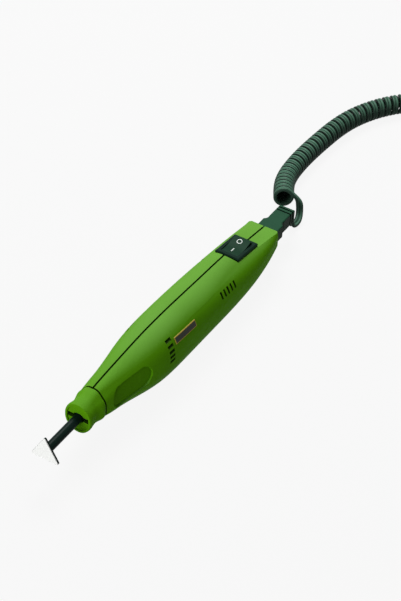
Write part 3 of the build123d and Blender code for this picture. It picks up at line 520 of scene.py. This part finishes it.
def grid_object(name, points, finish, closed_ends=True, lengths=None):
    """A tube from a grid of points: rings along the first parameter, each ring closed round the second.

    The ends are closed by flat faces. With lengths given, a UV map holds the way along the tube in
    millimetres and the share of the way round it.
    """
    rings, around = points.shape[:2]
    index = np.arange(rings * around).reshape(rings, around)
    ahead = np.roll(index, -1, axis=1)
    quads = np.stack([index[:-1], ahead[:-1], ahead[1:], index[1:]], axis=-1).reshape(-1, 4)
    faces = quads.tolist()
    if closed_ends:
        faces += [index[0, ::-1].tolist(), index[-1].tolist()]
    mesh = bpy.data.meshes.new(name)
    mesh.from_pydata(points.reshape(-1, 3).tolist(), [], faces)
    mesh.update()
    if lengths is not None:
        corner = np.zeros(len(mesh.loops), dtype=np.int32)
        mesh.loops.foreach_get("vertex_index", corner)
        wrap = np.stack([lengths[corner // around] / MM, (corner % around) / around], axis=-1)
        mesh.uv_layers.new(name="cord").data.foreach_set("uv", wrap.astype(np.float32).ravel())
    shell = bmesh.new()
    shell.from_mesh(mesh)
    bmesh.ops.recalc_face_normals(shell, faces=shell.faces)
    shell.to_mesh(mesh)
    shell.free()
    mesh.shade_smooth()
    mesh.materials.append(finish)
    made = bpy.data.objects.new(name, mesh)
    bpy.context.scene.collection.objects.link(made)
    return made


def unit(vectors):
    """Vectors brought to length one."""
    return vectors / np.linalg.norm(vectors, axis=-1, keepdims=True)


def smooth_line(points):
    """Points along the smooth NURBS line that has the given points as its controls."""
    curve = bpy.data.curves.new("route", "CURVE")
    curve.dimensions = "3D"
    curve.resolution_u = 24
    spline = curve.splines.new("NURBS")
    spline.points.add(len(points) - 1)
    spline.points.foreach_set("co", np.c_[np.array(points), np.ones(len(points))].ravel())
    spline.order_u = 3
    spline.use_endpoint_u = True
    carrier = bpy.data.objects.new("route", curve)
    mesh = bpy.data.meshes.new_from_object(carrier)
    line = np.zeros(len(mesh.vertices) * 3)
    mesh.vertices.foreach_get("co", line)
    bpy.data.meshes.remove(mesh)
    bpy.data.objects.remove(carrier)
    bpy.data.curves.remove(curve)
    return line.reshape(-1, 3)


def travelled(line):
    """Length of a line up to each of its points."""
    return np.r_[0.0, np.cumsum(np.linalg.norm(np.diff(line, axis=0), axis=1))]


# The cord's route in millimetres, much as the solids have it. The lead, which keeps closer to the anchor
# here: station, place across and height
LEAD_POINTS = [
    (228.0, 0.0, 16.4),
    (232.2, 0.0, 16.2),
    (234.0, 0.1, 9.8),
    (234.2, -0.9, 2.5),
    (241.0, -1.7, 2.7),
    (247.0, 0.5, 5.3),
]
# The axis of the curls, whose near end stands higher here: station, place across and lift
CURL_LIFT = 6.6
CURL_ROUTE = [
    (244.9, 11.6, CURL_LIFT),
    (257.4, 19.0, 0.5 * CURL_LIFT),
    (273.4, 25.0, 0.0),
    (290.0, 26.6, 0.0),
    (306.0, 26.6, 0.0),
    (322.0, 25.8, 0.0),
    (340.0, 24.4, 0.0),
    (357.0, 20.8, 0.0),
    (374.0, 13.6, 0.0),
    (389.0, 3.2, 0.0),
    (401.0, -9.6, 0.0),
    (409.0, -25.0, 0.0),
    (412.0, -40.0, 0.0),
    (412.0, -54.0, 0.0),
]
# The tail: the way along and across from where it starts, and height
TAIL_OFFSETS = [(-18.0, -0.6, 2.8), (-33.0, 1.8, 4.8), (-48.0, 3.2, 4.8)]
# How many curls there are, at what share of a turn they start, and how much they open on the way
CURL_TURNS = 39.625
CURL_START = 0.375
CURL_OPENING = 0.11
# Where the flat side of the lead faces as it rises, and the shares of the lead where it turns so and
# turns back
LEAD_FACING = np.array([-0.63, -0.39, 0.67])
LEAD_RISING = (0.45, 0.65)
LEAD_JOINING = (0.82, 1.0)
# Straight runs: before and after the curls, at the end of the lead and at the start of the tail
STUB = 3.4 * MM
LEAD_RUN = 4.4 * MM
TAIL_RUN = 6.0 * MM
# Each strand of the flat cord: the count of its points, and how far round they go to each side
STRAND_POINTS = 14
STRAND_ARC = math.radians(160.0)


def curls(axis, radius, steps):
    """Helix round the axis of the curls.

    The point goes round the axis at the radius, clockwise as seen along it, from the start's share of a
    turn. Its way along the axis grows a little faster than its turns, so the curls open. Also gives the
    heading of the axis.
    """
    share = np.linspace(0.0, 1.0, round(CURL_TURNS * steps) + 1)
    length = travelled(axis)
    wanted = (share * (1 - CURL_OPENING) + share**2 * CURL_OPENING) * length[-1]
    centre = np.stack([np.interp(wanted, length, axis[:, number]) for number in range(3)], axis=-1)
    heading = unit(np.gradient(centre, axis=0))
    left = unit(np.stack([-heading[:, 1], heading[:, 0], np.zeros(len(share))], axis=-1))
    above = np.cross(heading, left)
    angle = 2 * np.pi * (CURL_START - share * CURL_TURNS)
    return centre + radius * (np.cos(angle)[:, None] * left + np.sin(angle)[:, None] * above), heading


def level_side(line):
    """A level direction square to the line at each of its points."""
    heading = unit(np.gradient(line, axis=0))
    return unit(np.stack([-heading[:, 1], heading[:, 0], np.zeros(len(line))], axis=-1))


def eased(share, low, high):
    """0 below the low share, 1 above the high one, smooth between."""
    part = np.clip((share - low) / (high - low), 0.0, 1.0)
    return part * part * (3.0 - 2.0 * part)


def lead_side(line, coil_heading):
    """The direction across the flat cord at each point of the lead.

    It is level and across the tool at first, then it turns the flat side up and to the front, and last it
    turns in line with the coil's axis.
    """
    share = np.linspace(0.0, 1.0, len(line))[:, None]
    level = np.array([0.0, 1.0, 0.0])
    shown = unit(np.cross(LEAD_FACING, unit(np.gradient(line, axis=0))))
    rising, joining = eased(share, *LEAD_RISING), eased(share, *LEAD_JOINING)
    side = level * (1 - rising) + shown * rising
    return side * (1 - joining) - coil_heading * joining


def cord_route(lead_route, sizes):
    """The cord's middle line from the anchor to the plug, and the direction across the cord along it."""
    axis = smooth_line([(along(x), y * MM, sizes.curl_height + lift * MM) for x, y, lift in CURL_ROUTE])
    wound, heading = curls(axis, sizes.curl, sizes.curl_steps)
    start_way, end_way = unit(wound[1] - wound[0]), unit(wound[-1] - wound[-2])
    lead_end, tail_start = wound[0] - start_way * STUB, wound[-1] + end_way * STUB
    lead = smooth_line(lead_route + [lead_end - start_way * LEAD_RUN, lead_end])
    tail_route = [tail_start, tail_start + end_way * TAIL_RUN]
    tail_route += [(tail_start[0] + x * MM, tail_start[1] + y * MM, z * MM) for x, y, z in TAIL_OFFSETS]
    tail = smooth_line(tail_route)
    side = np.concatenate([lead_side(lead, heading[0]), -heading, -level_side(tail)])
    return np.concatenate([lead, wound, tail]), side


def twin_rings(line, side, sizes):
    """Rings of points along the flat cord, each round its two strands."""
    way = unit(np.gradient(line, axis=0))
    side = unit(side - way * np.sum(side * way, axis=1, keepdims=True))
    out = np.cross(way, side)
    bend = np.linspace(-1.0, 1.0, STRAND_POINTS) * STRAND_ARC
    wide = sizes.strand_step + sizes.strand * np.cos(bend)
    high = sizes.strand * np.sin(bend)
    strand = np.stack([wide, high], axis=-1)
    section = np.concatenate([strand, -strand])
    across = section[:, 0, None] * side[:, None, :]
    painted_top_light = section[:, 1, None] * out[:, None, :]
    return line[:, None, :] + across + painted_top_light


class PENSANDER_OT_cord(bpy.types.Operator):
    """Makes the flat twin cord: a lead from the anchor, the curls and a tail that ends in the plug"""

    bl_idname = "pensander.cord"
    bl_label = "Curly cord"

    def execute(self, context):
        sizes = context.scene.pen_sander_sizes
        colours = context.scene.pen_sander_colours
        lead_route = [(along(x), y * MM, z * MM) for x, y, z in LEAD_POINTS]
        line, side = cord_route(lead_route, sizes)
        length = travelled(line)
        jacket = cord_finish(tuple(colours.cord))
        cord = grid_object("cord_twin", twin_rings(line, side, sizes), jacket, lengths=length)
        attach(cord, "housing")
        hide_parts("cord_lead", "curly_cord", "cord_tail")
        return {"FINISHED"}


# Rocker of the switch: its pivot, its tilt, which is its own in the frame less the slope of the frame,
# and in millimetres the dished line of its top: half its length and the heights of its ends and its dip
ROCKER_PIVOT = np.array([66.363, 0.0, 28.9621]) * MM
ROCKER_TILT = math.radians(10.0 - 7.4)
ROCKER_HALF = 8.1
ROCKER_END = 4.4
ROCKER_DIP = 3.1
# The two marks, in millimetres along and across the rocker: the ring's middle, its outer radius, the
# width of its line and the count of its corners, and the bar's middle, half its size and the count of its
# stations
RING_MIDDLE = (4.9, 0.6)
RING_RADIUS = 1.7
RING_LINE = 0.40
RING_CORNERS = 48
BAR_MIDDLE = (-3.4, 0.40)
BAR_HALF = (1.7, 0.25)
BAR_STATIONS = 8
# How far the four corners of the marks' section stand over the rocker, as shares of the lift
SECTION_RISE = np.array([1.0, 1.0, -1.0, -1.0])
# Size of the grain of the switch
SWITCH_GRAIN = 0.35 * MM


def on_rocker(ahead, across, lift):
    """Points over the rocker's dished top, from millimetres along and across it and metres of lift.

    The top is an arc through its dip and its two ends, in the tilted plane of the rocker.
    """
    rise = ROCKER_END - ROCKER_DIP
    radius = (ROCKER_HALF**2 + rise**2) / (2 * rise)
    height = (ROCKER_DIP + radius - np.sqrt(radius**2 - ahead**2)) * MM + lift
    cosine, sine = math.cos(ROCKER_TILT), math.sin(ROCKER_TILT)
    x = ROCKER_PIVOT[0] + ahead * MM * cosine - height * sine
    z = ROCKER_PIVOT[2] + ahead * MM * sine + height * cosine
    return np.stack(np.broadcast_arrays(x, across * MM, z), axis=-1)


def printed_ring(lift):
    """Rings of points of the round mark, the last on the first, since it is a closed loop."""
    turn = np.linspace(0.0, 2 * np.pi, RING_CORNERS, endpoint=False)[:, None]
    reach = RING_RADIUS - np.array([0.0, RING_LINE, RING_LINE, 0.0])
    ahead = RING_MIDDLE[0] + reach * np.cos(turn)
    across = RING_MIDDLE[1] + reach * np.sin(turn)
    loop = on_rocker(ahead, across, SECTION_RISE * lift)
    return np.concatenate([loop, loop[:1]])


def printed_bar(lift):
    """Rings of points of the straight mark."""
    half_long, half_wide = BAR_HALF
    ahead = BAR_MIDDLE[0] + np.linspace(-half_long, half_long, BAR_STATIONS)[:, None]
    across = BAR_MIDDLE[1] + np.array([-half_wide, half_wide, half_wide, -half_wide])
    return on_rocker(ahead, across, SECTION_RISE * lift)


class PENSANDER_OT_switch(bpy.types.Operator):
    """Finishes the rocker switch and prints its two marks"""

    bl_idname = "pensander.switch"
    bl_label = "Switch"

    def execute(self, context):
        sizes = context.scene.pen_sander_sizes
        colours = context.scene.pen_sander_colours
        edge = dark_finish("frame_plastic", tuple(colours.frame), rough=0.34, grain_size=SWITCH_GRAIN)
        top = dark_finish("rocker_plastic", toned(colours.dark, 0.55), rough=0.30, grain_size=SWITCH_GRAIN)
        dress(edge, "switch_frame")
        dress(top, "switch_rocker")
        white = mark_finish(tuple(colours.mark))
        ring = grid_object("mark_off", printed_ring(sizes.mark_lift), white, closed_ends=False)
        bar = grid_object("mark_on", printed_bar(sizes.mark_lift), white)
        for mark in (ring, bar):
            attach(mark, "rocker")
        return {"FINISHED"}


# Colours of the metals and the winding
STEEL = (0.5, 0.5, 0.52)
BLACKED_STEEL = (0.05, 0.05, 0.055)
SHEET_STEEL = (0.18, 0.18, 0.19)
ZINC = (0.55, 0.55, 0.53)
NICKEL = (0.75, 0.74, 0.70)
MAGNET = (0.06, 0.06, 0.07)
BRONZE = (0.42, 0.24, 0.09)
BRASS = (0.55, 0.38, 0.12)
COPPER = (0.48, 0.20, 0.09)
LACQUERED_COPPER = (0.45, 0.14, 0.05)
# Tool lines of the metals: the scale of their noise on each axis
ROUND_LINES = (1500.0, 60.0, 60.0)
LONG_LINES = (60.0, 1500.0, 1500.0)
UPRIGHT_LINES = (60.0, 60.0, 1500.0)
CROSS_LINES = (1500.0, 1500.0, 60.0)
CONTACT_LINES = (60.0, 900.0, 900.0)
SHEET_LINES = (3000.0, 30.0, 30.0)
BAR_LINES = (30.0, 1200.0, 1200.0)
SCREW_GRAIN = (900.0, 900.0, 900.0)
MAGNET_GRAIN = (700.0, 700.0, 700.0)
# Metals inside: finish, colour, roughness, tool lines and pieces
INNER_METALS = [
    ("bronze", BRONZE, 0.4, ROUND_LINES, ("lever_bush", "motor_bushes")),
    (
        "brass", BRASS, 0.25, ROUND_LINES,
        ("eccentric_hub", "switch_terminals", "motor_terminals", "brush_springs"),
    ),
    ("ground_steel", STEEL, 0.2, ROUND_LINES, ("rotor_shaft", "eccentric_bearing")),
    ("pivot_steel", STEEL, 0.2, UPRIGHT_LINES, ("lever_pivot_pin",)),
    ("sheet_stack", SHEET_STEEL, 0.45, SHEET_LINES, ("armature_core",)),
    ("plated_can", ZINC, 0.22, LONG_LINES, ("motor_can",)),
    ("magnet_grey", MAGNET, 0.5, MAGNET_GRAIN, ("field_magnets",)),
    ("copper_bars", COPPER, 0.22, BAR_LINES, ("commutator",)),
]
# Other matter inside: finish, colour, roughness, size of the grain in millimetres and pieces
INNER_PLAIN = [
    ("lever_plastic", (0.52, 0.50, 0.44), 0.4, 0.5, ("drive_lever",)),
    ("fan_plastic", (0.02, 0.02, 0.02), 0.4, 0.4, ("cooling_fan",)),
    ("cap_plastic", (0.58, 0.55, 0.44), 0.45, 0.5, ("motor_end_cap",)),
    ("soft_rubber", (0.012, 0.012, 0.012), 0.6, 0.3, ("socket_buffer", "motor_mounts")),
    ("pressed_carbon", (0.01, 0.01, 0.01), 0.55, 0.2, ("carbon_brushes",)),
    ("dipped_coat", (0.45, 0.12, 0.02), 0.2, 0.8, ("suppressor",)),
    ("wire_jacket", (0.25, 0.012, 0.01), 0.4, 0.3, ("motor_leads", "supply_leads")),
]


class PENSANDER_OT_housing(bpy.types.Operator):
    """Finishes the two housing halves, the nose collar, the screws and the label plate"""

    bl_idname = "pensander.housing"
    bl_label = "Housing"

    def execute(self, context):
        colours = context.scene.pen_sander_colours
        dress(housing_finish(tuple(colours.housing)), "housing_left", "housing_right", "nose_collar")
        dress(metal_finish("black_screw", BLACKED_STEEL, rough=0.3, stretch=SCREW_GRAIN), "housing_screws")
        dress(label_finish(tuple(colours.gilt)), "label_plate")
        return {"FINISHED"}


class PENSANDER_OT_holder(bpy.types.Operator):
    """Finishes the sanding holder, its cross pin and its abrasive face"""

    bl_idname = "pensander.holder"
    bl_label = "Sanding holder"

    def execute(self, context):
        colours = context.scene.pen_sander_colours
        dress(holder_finish(tuple(colours.holder)), "sanding_holder")
        dress(metal_finish("pin_steel", STEEL, rough=0.25, stretch=CROSS_LINES), "holder_cross_pin")
        dress(grit_finish(tuple(colours.grit)), "abrasive_pad")
        return {"FINISHED"}


class PENSANDER_OT_anchor(bpy.types.Operator):
    """Finishes the cord anchor and the plug"""

    bl_idname = "pensander.anchor"
    bl_label = "Cord anchor and plug"

    def execute(self, context):
        colours = context.scene.pen_sander_colours
        plastic = dark_finish("anchor_plastic", tuple(colours.dark), rough=0.34, grain_size=0.4 * MM)
        dress(plastic, "cord_anchor", "supply_plug")
        dress(metal_finish("contact_nickel", NICKEL, rough=0.14, stretch=CONTACT_LINES), "plug_contact")
        return {"FINISHED"}


class PENSANDER_OT_works(bpy.types.Operator):
    """Finishes what is inside the housing: lever, rotor, motor and wiring"""

    bl_idname = "pensander.works"
    bl_label = "Inner works"

    def execute(self, context):
        for finish, colour, rough, lines, pieces in INNER_METALS:
            dress(metal_finish(finish, colour, rough, lines), *pieces)
        for finish, colour, rough, grain_size, pieces in INNER_PLAIN:
            dress(plain_finish(finish, colour, rough, grain_size * MM), *pieces)
        dress(winding_finish(LACQUERED_COPPER), "armature_windings")
        return {"FINISHED"}


# Camera: the point on its axis a metre before it, its directions, the picture's size and the pixel that
# its axis meets, the width of its sensor in millimetres, and the nearest and the farthest that it sees
AIM = Vector((along(80.0), 0.0, AXIS_HEIGHT))
BACK = Vector((-0.6336, -0.3888, 0.6688))
RIGHT = Vector((0.5426, -0.8396, 0.0259))
UP = Vector((0.5514, 0.3794, 0.7430))
IMAGE_WIDE, IMAGE_TALL = 401, 601
AXIS_PIXEL = (158.10, 336.65)
SENSOR_WIDE = 36.0
CLIP_NEAR, CLIP_FAR = 0.05, 20.0
# Floor: half its side, its tone in the light, and how much of what is seen of it is plain white
FLOOR_HALF = 4.0
FLOOR_TONE = (0.34, 0.34, 0.34)
FLOOR_WHITE = 0.90
WHITE = (1.0, 1.0, 1.0)
# Lamps: name, seat, the point that it looks at, side of its square, and watts as a share of the key's
LAMPS = [
    ("softbox", (0.42, 0.30, 0.80), (0.05, 0.0, 0.02), 0.5, 1.0),
    ("front_panel", (-0.92, 0.05, 0.26), (-0.12, 0.0, 0.02), 0.4, 0.52),
]


def make_camera(scene, focal_length):
    """The camera, set as the photograph's was, and colours shown as they are."""
    lens = bpy.data.cameras.new("camera")
    lens.lens = focal_length
    lens.sensor_width = SENSOR_WIDE
    lens.clip_start = CLIP_NEAR
    lens.clip_end = CLIP_FAR
    lens.shift_x = (IMAGE_WIDE / 2 - AXIS_PIXEL[0]) / IMAGE_TALL
    lens.shift_y = (AXIS_PIXEL[1] - IMAGE_TALL / 2) / IMAGE_TALL
    camera = bpy.data.objects.new("camera", lens)
    turned = Matrix((RIGHT, UP, BACK)).transposed().to_4x4()
    camera.matrix_world = Matrix.Translation(AIM + BACK) @ turned
    scene.collection.objects.link(camera)
    scene.camera = camera
    scene.view_settings.view_transform = "Standard"


def seen_mask(finish):
    """1 for a ray from the camera or from gloss or glass, 0 for light that falls on things."""
    camera = finish.node("ShaderNodeLightPath", output="Is Camera Ray")
    outputs = camera.output.node.outputs
    gloss = Socket(finish, outputs["Is Glossy Ray"])
    glass = Socket(finish, outputs["Is Transmission Ray"])
    return camera.greatest(gloss).greatest(glass)


def make_floor(scene):
    """A floor that is seen as almost white and takes light as a grey one."""
    pale = Finish(bpy.data.materials.new("floor"), "ShaderNodeMixShader")
    matt = pale.node("ShaderNodeBsdfDiffuse", {}, {"Color": FLOOR_TONE})
    glow = pale.node("ShaderNodeEmission", {}, {"Color": WHITE, "Strength": 1.0})
    for number, value in enumerate((seen_mask(pale) * FLOOR_WHITE, matt, glow)):
        pale.put(pale.surface.inputs[number], value)
    mesh = bpy.data.meshes.new("floor")
    corners = [(x * FLOOR_HALF, y * FLOOR_HALF, 0.0) for x, y in ((-1, -1), (1, -1), (1, 1), (-1, 1))]
    mesh.from_pydata(corners, [], [(0, 1, 2, 3)])
    mesh.materials.append(pale.owner)
    floor = bpy.data.objects.new("floor", mesh)
    scene.collection.objects.link(floor)


def make_sky(scene, fill):
    """A surround that is seen as white and gives off a fill light."""
    scene.world = bpy.data.worlds.new("studio")
    sky = Finish(scene.world, "ShaderNodeBackground", "ShaderNodeOutputWorld")
    shown = seen_mask(sky)
    sky.shade(Color=WHITE, Strength=shown + (1.0 - shown) * fill)


def make_lamps(scene, key):
    """Square lamps, each turned to the point that it looks at."""
    for name, seat, target, size, share in LAMPS:
        light = bpy.data.lights.new(name, "AREA")
        light.energy = key * share
        light.size = size
        lamp = bpy.data.objects.new(name, light)
        way = Vector(seat) - Vector(target)
        lamp.matrix_world = Matrix.Translation(seat) @ way.to_track_quat("Z", "Y").to_matrix().to_4x4()
        scene.collection.objects.link(lamp)


class PENSANDER_OT_stage(bpy.types.Operator):
    """Makes the camera, the pale floor and the studio light"""

    bl_idname = "pensander.stage"
    bl_label = "Camera, floor and light"

    def execute(self, context):
        scene = context.scene
        stage = scene.pen_sander_stage
        make_camera(scene, stage.lens)
        make_floor(scene)
        make_sky(scene, stage.fill)
        make_lamps(scene, stage.key)
        return {"FINISHED"}


class PENSANDER_PT_panel(bpy.types.Panel):
    """Lists the steps that dress the pen sander"""

    bl_idname = "PENSANDER_PT_panel"
    bl_label = "Pen sander"
    bl_space_type = "VIEW_3D"
    bl_region_type = "UI"
    bl_category = "Pen sander"

    def draw(self, context):
        for step in STEPS:
            self.layout.operator(step.bl_idname)
        for group in GROUPS:
            settings = getattr(context.scene, group)
            for name in settings.__annotations__:
                self.layout.prop(settings, name)


GROUPS = {
    "pen_sander_sizes": PenSanderSizes,
    "pen_sander_colours": PenSanderColours,
    "pen_sander_stage": PenSanderStage,
}
STEPS = [
    PENSANDER_OT_stage,
    PENSANDER_OT_cord,
    PENSANDER_OT_housing,
    PENSANDER_OT_switch,
    PENSANDER_OT_holder,
    PENSANDER_OT_anchor,
    PENSANDER_OT_works,
]
CLASSES = [*GROUPS.values(), *STEPS, PENSANDER_PT_panel]


def register():
    for item in CLASSES:
        bpy.utils.register_class(item)
    for name, group in GROUPS.items():
        setattr(bpy.types.Scene, name, PointerProperty(type=group))


def unregister():
    for name in GROUPS:
        delattr(bpy.types.Scene, name)
    for item in reversed(CLASSES):
        bpy.utils.unregister_class(item)


def main():
    register()
    bpy.ops.pensander.stage()
    bpy.ops.pensander.cord()
    bpy.ops.pensander.housing()
    bpy.ops.pensander.switch()
    bpy.ops.pensander.holder()
    bpy.ops.pensander.anchor()
    bpy.ops.pensander.works()


if __name__ == "__main__":
    main()
